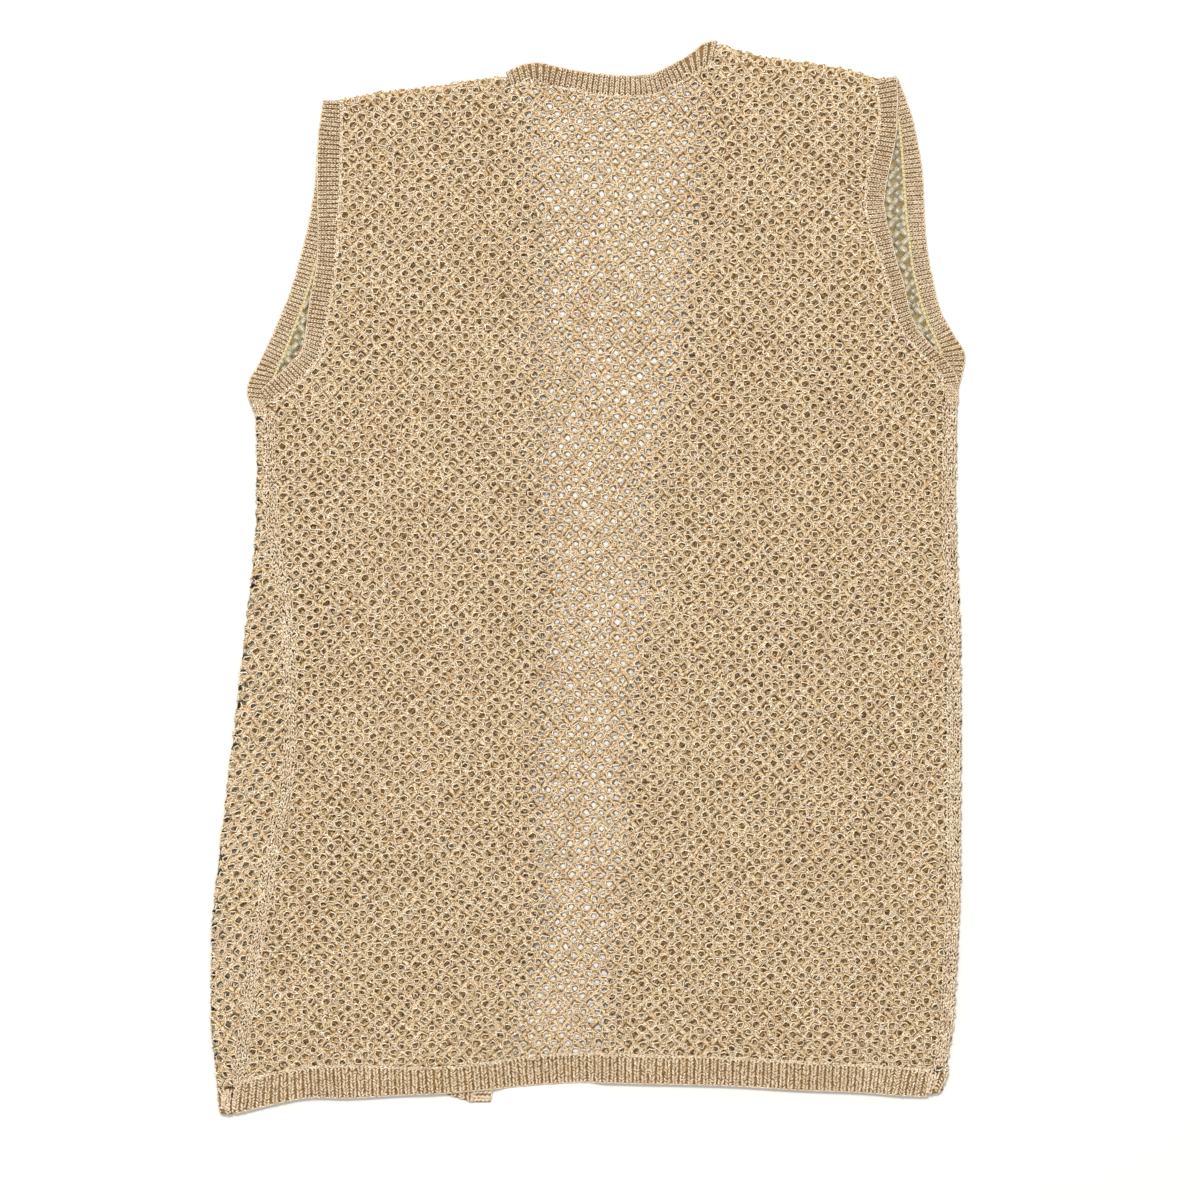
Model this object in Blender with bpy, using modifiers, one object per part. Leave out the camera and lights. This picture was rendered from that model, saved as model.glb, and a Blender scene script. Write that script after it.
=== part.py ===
"""Sleeveless openwork knit cardigan, laid flat with its back up.

Metres, +Z up, +X to the right and +Y towards the neck. The fronts lie on the table, wrong side
up, and the back lies on them, right side up. Left and right are those of the view from above.
The tables and functions are in millimetres, and a mesh's points are made metres last.
"""

from collections import namedtuple
from math import cos, pi, sin

import bmesh
import bpy
import numpy as np

MM = 0.001

# ---- driving dimensions, mm ----
WALL = 2.0              # thickness of the knitted cloth
SEAM = 0.3              # gap between two pieces along a seam
LAYER_GAP = 0.3         # gap between the fronts and the back that lies on them
RIB_RELIEF = 0.7        # how far a rib's crest stands over its valleys
FRONT_BAND_WIDTH = 10.4
SAG_RUN = 9.0           # width over which the back falls from a front's edge to the table
FOLD_STEPS = 6          # facets round the rolled side fold
WRAP_STEPS = 2          # columns of the front that lie on top, past the fold
SIDE_ROWS = 12          # rows of each panel from the hem to the underarm
ARMHOLE_ROWS = 17       # rows from there to the shoulder
ARMHOLE_CROWDING = 1.25 # over 1, those rows crowd towards the underarm's tight curve
HEM_ROWS = 2
PANEL_COLUMNS = 7       # columns of a panel between its side and its front edge

UPPER_REST = WALL + LAYER_GAP           # underside of the back where it lies on the fronts
FOLD_RADIUS = (UPPER_REST + WALL) / 2   # outer face of the side fold
UNDERARM = {"left": 103.4, "right": 118.0}  # height of the top of each side seam
UNDERARM_SHARE = 0.69                   # the underarm's share of a panel's height
OUTWARD = {"left": -1, "right": 1}      # the way to each side along X

# ---- the laid outline ----
# side fold and side seam by height; the fronts wrap round the folds and meet the back on top
Side = namedtuple("Side", "y fold_left seam_left seam_right fold_right")
SIDES = (
    Side(-330.0, -223.4, -217.5, 204.0, 212.0),
    Side(-310.8, -226.4, -215.0, 208.5, 217.4),
    Side(-294.3, -229.4, -213.2, 212.0, 221.0),
    Side(-263.8, -230.1, -208.9, 215.5, 224.4),
    Side(-233.3, -230.1, -204.7, 217.5, 226.2),
    Side(-196.7, -228.8, -198.6, 219.0, 228.0),
    Side(-160.1, -224.0, -192.5, 219.5, 228.4),
    Side(-123.5, -220.0, -184.5, 219.5, 228.4),
    Side(-86.9, -215.4, -182.7, 219.6, 228.4),
    Side(-50.3, -211.6, -183.3, 219.5, 228.4),
    Side(-13.7, -207.3, -186.4, 218.2, 227.4),
    Side(22.9, -203.2, -193.1, 216.8, 225.6),
    Side(59.5, -202.2, -195.6, 216.2, 225.0),
    Side(103.4, -203.2, -196.6, 217.6, 226.4),
    Side(118.0, -204.7, -197.9, 217.4, 225.0),
)

# the seam between each panel and its armhole band, with the band's width
Armhole = namedtuple("Armhole", "y back_x back_width front_x front_width")
ARMHOLES = {
    "left": (
        Armhole(103.4, -196.6, 9.2, -196.0, 9.0),
        Armhole(112.5, -186.4, 9.8, -195.0, 12.8),
        Armhole(125.4, -170.5, 10.4, -190.4, 11.0),
        Armhole(136.9, -163.2, 10.4, -185.4, 10.4),
        Armhole(153.4, -160.1, 11.0, -179.0, 9.8),
        Armhole(169.3, -157.1, 11.6, -172.9, 9.2),
        Armhole(188.2, -154.0, 11.0, -167.4, 9.2),
        Armhole(208.9, -152.8, 11.3, -160.7, 10.4),
        Armhole(233.3, -151.6, 12.8, -154.6, 12.2),
        Armhole(263.8, -151.0, 13.1, -151.0, 13.1),
        Armhole(290.7, -150.4, 10.4, -150.4, 10.4),
    ),
    "right": (
        Armhole(118.0, 217.4, 8.5, 218.0, 8.4),
        Armhole(125.4, 215.0, 7.6, 218.6, 10.4),
        Armhole(132.1, 208.3, 7.3, 217.5, 12.9),
        Armhole(143.7, 197.3, 7.3, 213.8, 10.4),
        Armhole(158.9, 188.2, 8.5, 206.5, 9.2),
        Armhole(174.8, 185.1, 8.5, 202.2, 9.5),
        Armhole(190.0, 180.3, 8.5, 198.6, 9.8),
        Armhole(206.5, 174.8, 9.8, 196.7, 9.5),
        Armhole(226.0, 169.9, 10.4, 194.6, 10.4),
        Armhole(245.5, 171.7, 11.0, 193.4, 10.7),
        Armhole(265.0, 176.6, 10.4, 191.8, 9.2),
        Armhole(282.7, 179.3, 9.8, 189.7, 7.3),
        Armhole(301.0, 175.4, 12.8, 184.5, 5.0),
    ),
}

# free edges of the two fronts, under the back
Opening = namedtuple("Opening", "y left right")
OPENINGS = (
    Opening(-325.0, -60.7, 8.8),
    Opening(-294.3, -53.4, 10.1),
    Opening(-245.5, -36.3, 13.7),
    Opening(-196.7, -29.0, 22.9),
    Opening(-135.7, -34.5, 25.9),
    Opening(-74.7, -31.4, 29.6),
    Opening(-13.7, -25.9, 37.5),
    Opening(47.3, -29.0, 38.7),
    Opening(108.3, -32.0, 49.7),
    Opening(138.8, -34.5, 56.4),
    Opening(199.8, -30.2, 65.6),
    Opening(248.6, -38.1, 69.0),
    Opening(330.0, -42.0, 70.3),
)

# top of the panels: two shoulder lines, and the neck seam with the neckband's free edge over it
Top = namedtuple("Top", "x y")
SHOULDER_LEFT = (
    Top(-150.4, 290.7),
    Top(-138.8, 293.1),
    Top(-129.0, 294.9),
    Top(-105.8, 298.0),
    Top(-90.0, 299.4),
    Top(-72.3, 302.3),
    Top(-52.4, 306.3),
)
Neck = namedtuple("Neck", "x y outer_x outer_y")
NECK = (
    Neck(-47.9, 299.8, -50.8, 307.3),
    Neck(-38.7, 301.6, -40.0, 312.0),
    Neck(-28.4, 303.0, -29.6, 313.8),
    Neck(-19.2, 301.0, -19.2, 311.4),
    Neck(-8.8, 297.4, -7.0, 309.0),
    Neck(6.4, 294.9, 7.0, 307.1),
    Neck(21.0, 293.7, 20.4, 305.9),
    Neck(32.0, 293.7, 30.8, 305.9),
    Neck(43.0, 295.5, 40.0, 307.4),
    Neck(51.5, 299.8, 47.3, 310.4),
    Neck(58.9, 304.1, 55.8, 314.9),
    Neck(66.2, 308.4, 64.4, 320.2),
    Neck(71.1, 310.6, 71.1, 325.4),
    Neck(75.9, 313.0, 79.4, 327.0),
)
SHOULDER_RIGHT = (
    Top(80.8, 325.2),
    Top(93.0, 320.6),
    Top(108.9, 316.9),
    Top(136.3, 313.2),
    Top(157.1, 309.6),
    Top(166.2, 307.1),
    Top(175.4, 302.8),
)

# hem seam of every panel, and the free edges of the back's and the fronts' hems
Hem = namedtuple("Hem", "x seam back_edge front_edge")
HEMS = (
    Hem(-232.0, -311.4, -325.2, -325.2),
    Hem(-220.0, -310.4, -327.0, -327.0),
    Hem(-212.6, -308.4, -326.4, -326.2),
    Hem(-202.2, -305.3, -324.0, -323.0),
    Hem(-188.2, -302.3, -320.6, -319.3),
    Hem(-168.1, -299.2, -316.9, -315.7),
    Hem(-144.9, -298.6, -317.1, -315.7),
    Hem(-108.3, -299.8, -315.1, -313.8),
    Hem(-89.4, -299.8, -314.5, -314.0),
    Hem(-75.0, -298.2, -313.4, -319.2),
    Hem(-60.0, -296.6, -312.0, -319.6),
    Hem(-41.2, -293.7, -310.2, -312.0),
    Hem(-4.0, -291.3, -307.7, -305.3),
    Hem(38.1, -292.5, -308.4, -305.9),
    Hem(89.4, -293.7, -309.6, -307.1),
    Hem(129.6, -296.2, -312.0, -309.0),
    Hem(173.5, -298.6, -313.8, -311.4),
    Hem(199.2, -300.4, -315.7, -313.6),
    Hem(212.0, -301.0, -315.4, -314.2),
    Hem(226.0, -301.0, -308.0, -308.0),
)

# soft ridges of the back where it lies over the fronts: middle, half length, half width, turn
Ridge = namedtuple("Ridge", "x y length width degrees height")
RIDGES = (
    Ridge(-166.0, -20.0, 120.0, 11.0, 92.0, 1.4),
    Ridge(-158.0, -190.0, 90.0, 12.0, 80.0, 1.2),
    Ridge(-120.0, 150.0, 60.0, 14.0, 60.0, 0.9),
    Ridge(150.0, 120.0, 70.0, 13.0, 125.0, 1.1),
    Ridge(120.0, -60.0, 110.0, 15.0, 84.0, 0.8),
    Ridge(175.0, -180.0, 90.0, 12.0, 98.0, 0.9),
    Ridge(-95.0, -240.0, 60.0, 14.0, 35.0, 0.7),
)

# 1x1 ribs along each band that shows, from the pitch of the ribs
RIBS = {"hem": 91, "neck": 38, "armhole_left": 80, "armhole_right": 76}

EDGE_STEP = 0.02        # share of an edge on each side of a point that gives its direction

# ---- looks ----
GARMENT = "cardigan"
NET_COLOUR = (0.52, 0.39, 0.25, 1.0)
RIB_COLOUR = (0.45, 0.34, 0.21, 1.0)
KNIT_ROUGHNESS = 0.6


def smooth(rows, column, at):
    """Read a table's column as a smooth curve through its rows, by its first column."""
    x = np.array([row[0] for row in rows])
    y = np.array([getattr(row, column) for row in rows])
    slope = np.gradient(y, x)
    at = float(np.clip(at, x[0], x[-1]))
    i = int(np.clip(np.searchsorted(x, at) - 1, 0, len(x) - 2))
    width = x[i + 1] - x[i]
    t = (at - x[i]) / width
    return float(
        y[i] * (1 + 2 * t) * (1 - t) ** 2
        + y[i + 1] * t * t * (3 - 2 * t)
        + slope[i] * width * t * (1 - t) ** 2
        - slope[i + 1] * width * t * t * (1 - t)
    )


def ease(share):
    """Rise from 0 to 1 with flat ends."""
    share = min(1.0, max(0.0, share))
    return share * share * (3 - 2 * share)


def ridge_height(x, y):
    """Height of the soft ridges at a point of the back."""
    total = 0.0
    for ridge in RIDGES:
        turn = ridge.degrees * pi / 180
        along = (x - ridge.x) * cos(turn) + (y - ridge.y) * sin(turn)
        across = (y - ridge.y) * cos(turn) - (x - ridge.x) * sin(turn)
        near = max(0.0, 1 - (along / ridge.length) ** 2) * max(0.0, 1 - (across / ridge.width) ** 2)
        total += ridge.height * near**2
    return total


def upper_rest(x, y):
    """Underside of the back: on the fronts, and down on the table between their free edges."""
    inside = min(x - smooth(OPENINGS, "left", y), smooth(OPENINGS, "right", y) - x)
    lifted = 1 - ease((inside - SEAM) / SAG_RUN)
    return lifted * (UPPER_REST + ridge_height(x, y))


def top_line(x):
    """Top edge of a panel at x, from the shoulder lines and the neck seam."""
    if x <= SHOULDER_LEFT[-1].x:
        return smooth(SHOULDER_LEFT, "y", x)
    if x >= SHOULDER_RIGHT[0].x:
        return smooth(SHOULDER_RIGHT, "y", x)
    if x < NECK[0].x:
        share = (x - SHOULDER_LEFT[-1].x) / (NECK[0].x - SHOULDER_LEFT[-1].x)
        return SHOULDER_LEFT[-1].y + share * (NECK[0].y - SHOULDER_LEFT[-1].y)
    if x > NECK[-1].x:
        share = (x - NECK[-1].x) / (SHOULDER_RIGHT[0].x - NECK[-1].x)
        return NECK[-1].y + share * (SHOULDER_RIGHT[0].y - NECK[-1].y)
    return smooth(NECK, "y", x)


def armhole_edge(side, layer, y):
    """Place across the garment of a panel's edge: its side seam, and its armhole above that."""
    if y <= UNDERARM[side]:
        return smooth(SIDES, f"seam_{side}", y)
    return smooth(ARMHOLES[side], f"{layer}_x", y)


def hem_line(x):
    """Lower edge of a panel at x."""
    return smooth(HEMS, "seam", x)


def body_shares():
    """Rows of a panel as shares of its height, with a row on each side of the underarm."""
    side = np.linspace(0.0, UNDERARM_SHARE - 0.01, SIDE_ROWS + 1)
    armhole = np.linspace(0.0, 1.0, ARMHOLE_ROWS + 1) ** ARMHOLE_CROWDING
    return np.concatenate([side, UNDERARM_SHARE + armhole * (1.0 - UNDERARM_SHARE)])


def between(stops, counts):
    """Columns that share out the runs between neighbouring stops."""
    runs = [
        np.linspace(start, end, count, endpoint=False)
        for start, end, count in zip(stops[:-1], stops[1:], counts, strict=True)
    ]
    return np.concatenate([*runs, [stops[-1]]])


# columns of the back: its net on each side, the strips over the two front bands and their edges
BACK_RUNS = (PANEL_COLUMNS, 1, 1, 3, 5, 3, 1, 1, PANEL_COLUMNS)
NECK_FIRST = PANEL_COLUMNS + 1
NECK_LAST = sum(BACK_RUNS) - PANEL_COLUMNS - 1


def back_across(y):
    """Columns of the back at a height, with its neck corners over the front bands."""
    left, right = smooth(OPENINGS, "left", y), smooth(OPENINGS, "right", y)
    neck_left = NECK[0].x - SHOULDER_LEFT[-1].x
    neck_right = SHOULDER_RIGHT[0].x - NECK[-1].x
    stops = (
        armhole_edge("left", "back", y),
        left - FRONT_BAND_WIDTH,
        left - FRONT_BAND_WIDTH + neck_left,
        left,
        left + SAG_RUN + SEAM,
        right - SAG_RUN - SEAM,
        right,
        right + FRONT_BAND_WIDTH - neck_right,
        right + FRONT_BAND_WIDTH,
        armhole_edge("right", "back", y),
    )
    return between(stops, BACK_RUNS)


def front_across(side, y, folded):
    """Columns of a front at a height, as (x, z) of its right side, from its front seam.

    It lies on the table. Below the underarm it is folded: it rolls up round the side fold and
    ends at the side seam, on top.
    """
    out = OUTWARD[side]
    front = smooth(OPENINGS, side, y) + out * FRONT_BAND_WIDTH
    if not folded:
        flat = between((front, armhole_edge(side, "front", y)), (PANEL_COLUMNS,))
        return [(x, 0.0) for x in flat]
    roll = smooth(SIDES, f"fold_{side}", y) - out * FOLD_RADIUS
    flat = between((front, roll), (PANEL_COLUMNS,))
    turns = [pi * k / FOLD_STEPS for k in range(1, FOLD_STEPS + 1)]
    rolled = [(roll + out * FOLD_RADIUS * sin(a), FOLD_RADIUS * (1 - cos(a))) for a in turns]
    seam = smooth(SIDES, f"seam_{side}", y) + out * SEAM
    wrapped = between((roll, seam), (WRAP_STEPS,))[1:]
    return [(x, 0.0) for x in flat] + rolled + [(x, 2 * FOLD_RADIUS) for x in wrapped]


def settle(across, bottom, top, share, steps=5):
    """Height of a column at a share of its panel's height, where the column shifts with it."""
    x, y = 0.0, 0.0
    for _ in range(steps):
        y = bottom(x) + share * (top(x) - bottom(x))
        x = across(y)
    return y


def back_points():
    """Underside of the back, row by row."""
    rows = []
    for share in body_shares():
        row = []
        for column in range(sum(BACK_RUNS) + 1):
            y = settle(lambda h, c=column: back_across(h)[c], hem_line, top_line, share)
            x = back_across(y)[column]
            row.append((x, y, upper_rest(x, y)))
        rows.append(row)
    return rows


def front_points(side, bottom, top, shares, underarm_share):
    """Right side of a front or of its hem, row by row. Rows past the underarm aren't folded."""
    rows = []
    for share in shares:
        folded = share < underarm_share
        row = []
        for column in range(PANEL_COLUMNS + 1 + (FOLD_STEPS + WRAP_STEPS) * folded):
            y = settle(
                lambda h, c=column, f=folded: front_across(side, h, f)[c][0], bottom, top, share
            )
            x, z = front_across(side, y, folded)[column]
            row.append((x, y, z))
        rows.append(row)
    return rows


# ---- solids ----
def knit_material(name, colour, roughness):
    """Lurex knit cloth: mostly a plain yarn, with a little metal."""
    material = bpy.data.materials.new(name)
    material.use_nodes = True
    shader = material.node_tree.nodes["Principled BSDF"]
    shader.inputs["Base Color"].default_value = colour
    shader.inputs["Roughness"].default_value = roughness
    shader.inputs["Metallic"].default_value = 0.15
    material.diffuse_color = colour
    return material


def add_piece(name, mesh, colour):
    """Put a mesh in the garment as a named sub-part with its own material."""
    mesh.name = name
    piece = bpy.data.objects.new(name, mesh)
    bpy.data.collections[GARMENT].objects.link(piece)
    mesh.materials.clear()
    mesh.materials.append(knit_material(f"{name}_knit", colour, KNIT_ROUGHNESS))
    return piece


def add_sheet(name, rows, side, colour):
    """A wall of cloth: a grid primitive laid through the rows of points, then made solid.

    side is 1 where the thickness rises to the left of +X rows, and -1 where it sinks. Rows may
    be shorter than the first one, and the grid ends there with them.
    """
    columns = len(rows[0])
    bpy.ops.mesh.primitive_grid_add(x_subdivisions=columns - 1, y_subdivisions=len(rows) - 1, size=1)
    grid = bpy.context.object
    cage = bmesh.new()
    cage.from_mesh(grid.data)
    cage.verts.ensure_lookup_table()
    past = []
    for index, vertex in enumerate(cage.verts):
        row, column = divmod(index, columns)
        if column < len(rows[row]):
            vertex.co = [MM * value for value in rows[row][column]]
        else:
            past.append(vertex)
    bmesh.ops.delete(cage, geom=past, context="VERTS")
    cage.to_mesh(grid.data)
    cage.free()
    piece = add_piece(name, grid.data, colour)
    bpy.data.objects.remove(grid)
    wall = piece.modifiers.new("cloth thickness", "SOLIDIFY")
    wall.thickness = WALL * MM
    wall.offset = side
    return piece


def edge_reader(edge):
    """The shares of its length at an edge's points, and a function that reads it at a share."""
    line = np.array(edge)
    length = np.concatenate([[0.0], np.cumsum(np.linalg.norm(np.diff(line, axis=0), axis=1))])
    shares = length / length[-1]
    return shares, lambda share: np.array([np.interp(share, shares, axis) for axis in line.T])


def across_edge(read, share, turn):
    """Level direction that points away from a panel across its edge."""
    run = read(min(1.0, share + EDGE_STEP)) - read(max(0.0, share - EDGE_STEP))
    away = turn * np.array([run[1], -run[0], 0.0])
    return away / np.linalg.norm(away)


def add_band(name, edge, turn, free_edge, ribs, rest, colour):
    """A rib-knit band sewn to a panel's edge, lofted through a section on each crest and valley.

    turn is 1 where the panel lies to the left of its edge's run. free_edge gives the band's
    other edge from a point of the seam and the way across, and rest its underside's height.
    A plain band has no ribs, and a section for each point of the edge.
    """
    shares, read = edge_reader(edge)
    if ribs:
        shares = np.linspace(0.0, 1.0, 2 * ribs + 1)
    last = len(shares) - 1
    sections = []
    for k, share in enumerate(shares):
        seam = read(share)
        free = free_edge(seam, across_edge(read, share, turn))
        inner = seam + SEAM * (free - seam) / np.linalg.norm(free - seam)
        inner[2], free[2] = seam[2], rest(free[0], free[1])
        rise = np.array([0.0, 0.0, WALL - RIB_RELIEF * (ribs > 0 and k % 2 == 0)])
        sections.append((inner, free, free + rise, inner + rise))
    count = len(sections[0])
    faces = [tuple(range(count))[::turn], tuple(range(last * count, (last + 1) * count))[::-turn]]
    for k in range(last):
        for c in range(count):
            a, b = k * count + c, k * count + (c + 1) % count
            faces.append((a, a + count, b + count, b)[::turn])
    mesh = bpy.data.meshes.new(name)
    mesh.from_pydata([MM * point for section in sections for point in section], [], faces)
    return add_piece(name, mesh, colour)


def band_width(side, layer):
    """Free edge of an armhole band, from the widths in its table."""
    return lambda seam, away: seam + away * smooth(ARMHOLES[side], f"{layer}_width", seam[1])


def neck_free_edge(seam, _away):
    """Free edge of the neckband."""
    return np.array([smooth(NECK, "outer_x", seam[0]), smooth(NECK, "outer_y", seam[0]), 0.0])


def hem_free_edge(seam, _away):
    """Free edge of the back's hem, between the two side seams."""
    y = smooth(HEMS, "back_edge", seam[0])
    left, right = (smooth(SIDES, f"seam_{side}", seam[1]) for side in OUTWARD)
    low_left, low_right = (smooth(SIDES, f"seam_{side}", y) for side in OUTWARD)
    share = (seam[0] - left) / (right - left)
    return np.array([low_left + share * (low_right - low_left), y, 0.0])


def build_back():
    """The back, its hem, the neckband, and the back halves of the armhole bands."""
    rows = back_points()
    add_sheet("back_panel", rows, 1, NET_COLOUR)
    add_band("hem_back", rows[0], 1, hem_free_edge, RIBS["hem"], upper_rest, RIB_COLOUR)
    neck = rows[-1][NECK_FIRST : NECK_LAST + 1]
    add_band("neckband_back", neck, -1, neck_free_edge, RIBS["neck"], upper_rest, RIB_COLOUR)
    first = SIDE_ROWS + 1
    for side, column, turn in (("left", 0, -1), ("right", -1, 1)):
        edge = [row[column] for row in rows[first:]]
        add_band(
            f"armhole_band_back_{side}", edge, turn, band_width(side, "back"),
            RIBS[f"armhole_{side}"], upper_rest, RIB_COLOUR,
        )


def build_front(side):
    """One front, its hem, its front band, and the front half of its armhole's band."""
    rows = front_points(side, hem_line, top_line, body_shares(), UNDERARM_SHARE)
    hem = front_points(
        side,
        lambda x: smooth(HEMS, "front_edge", x),
        lambda x: hem_line(x) - SEAM,
        np.linspace(0.0, 1.0, HEM_ROWS + 1),
        np.inf,
    )
    rise = -1 if side == "left" else 1
    add_sheet(f"front_panel_{side}", rows, rise, NET_COLOUR)
    add_sheet(f"hem_front_{side}", hem, rise, RIB_COLOUR)
    on_table = lambda x, y: 0.0
    add_band(
        f"front_band_{side}",
        [row[0] for row in hem[:-1] + rows],
        -OUTWARD[side],
        lambda seam, _away: np.array([smooth(OPENINGS, side, seam[1]), seam[1], 0.0]),
        0, on_table, RIB_COLOUR,
    )
    add_band(
        f"armhole_band_front_{side}",
        [row[-1] for row in rows[SIDE_ROWS + 1 :]],
        OUTWARD[side], band_width(side, "front"), RIBS[f"armhole_{side}"], on_table, RIB_COLOUR,
    )


def main():
    """Clear the scene and build the garment."""
    for thing in list(bpy.data.objects):
        bpy.data.objects.remove(thing)
    bpy.context.scene.collection.children.link(bpy.data.collections.new(GARMENT))
    build_back()
    build_front("left")
    build_front("right")


main()
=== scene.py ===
"""Looks of a sleeveless openwork cardigan that lies on its fronts, with its back up.

Metres, +Z up, +X to the right and +Y towards the neck, as in the frame. The garment is knitted
from a gold-beige lurex yarn: an open net for the back and the two fronts, 1x1 rib bands round
its edges, and denser seams. A piece's yarn lies in and on the wall of the solid that it stands for.
"""

import logging
from dataclasses import dataclass, field
from enum import Enum
from math import cos, pi, sin
from typing import Protocol

import bmesh
import bpy
import numpy as np
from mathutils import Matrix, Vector
from mathutils.bvhtree import BVHTree


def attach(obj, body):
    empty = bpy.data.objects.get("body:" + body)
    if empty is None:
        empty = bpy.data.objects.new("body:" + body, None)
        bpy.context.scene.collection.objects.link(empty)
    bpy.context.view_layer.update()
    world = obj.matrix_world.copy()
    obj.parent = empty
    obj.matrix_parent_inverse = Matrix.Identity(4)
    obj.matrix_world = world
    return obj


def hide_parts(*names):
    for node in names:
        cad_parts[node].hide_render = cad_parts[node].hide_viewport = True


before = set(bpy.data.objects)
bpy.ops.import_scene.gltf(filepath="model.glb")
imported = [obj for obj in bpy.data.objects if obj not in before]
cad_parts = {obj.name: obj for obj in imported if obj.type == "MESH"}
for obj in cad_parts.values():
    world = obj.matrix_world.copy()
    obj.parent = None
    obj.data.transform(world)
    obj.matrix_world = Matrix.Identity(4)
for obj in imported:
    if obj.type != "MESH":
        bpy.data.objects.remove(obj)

MM = 0.001
WALL = 2.0 * MM         # thickness of the knitted cloth
SEED = 5                # of the small unevennesses of hand and machine
MAP_SCALE = 100.0       # units on a piece's map to a metre of its yarn
UP = np.array([0.0, 0.0, 1.0])
PLAN = np.array([1.0, 1.0, 0.0])    # leaves a vector's part in plan

log = logging.getLogger("cardigan")
Points = np.ndarray     # rows of x, y and mostly z


class Side(Enum):
    """A side of the garment, as seen from above, with the way outwards along X."""

    LEFT = -1
    RIGHT = 1

    @property
    def word(self) -> str:
        """The side's word in the names of the frame's nodes."""
        return self.name.lower()


class Face(Enum):
    """The face of a band that carries its worked stitches, with the way out of it along Z."""

    UNDER = -1
    OVER = 1


class Slant(Enum):
    """A family of the net's strands: rising or falling to the right."""

    FALLING = -1
    RISING = 1


class Lie(Enum):
    """How a place of the cloth lies: wrong side up under the back or bare, or right side up."""

    UNDER = 0
    BARE = 1
    SHOWN = 2


# ---- small tools ----
def linear(colour: str) -> tuple[float, float, float, float]:
    """Turn an sRGB hex colour to linear light.

    Args:
        colour: six hex digits after a hash sign.

    Returns:
        Red, green, blue and an alpha of 1.
    """
    shares = [int(colour[i : i + 2], 16) / 255 for i in (1, 3, 5)]
    light = [s / 12.92 if s <= 0.04045 else ((s + 0.055) / 1.055) ** 2.4 for s in shares]
    return (*light, 1.0)


def unit(rows: Points) -> Points:
    """Scale each row to a length of 1."""
    return rows / np.maximum(np.linalg.norm(rows, axis=-1, keepdims=True), 1e-12)


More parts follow.
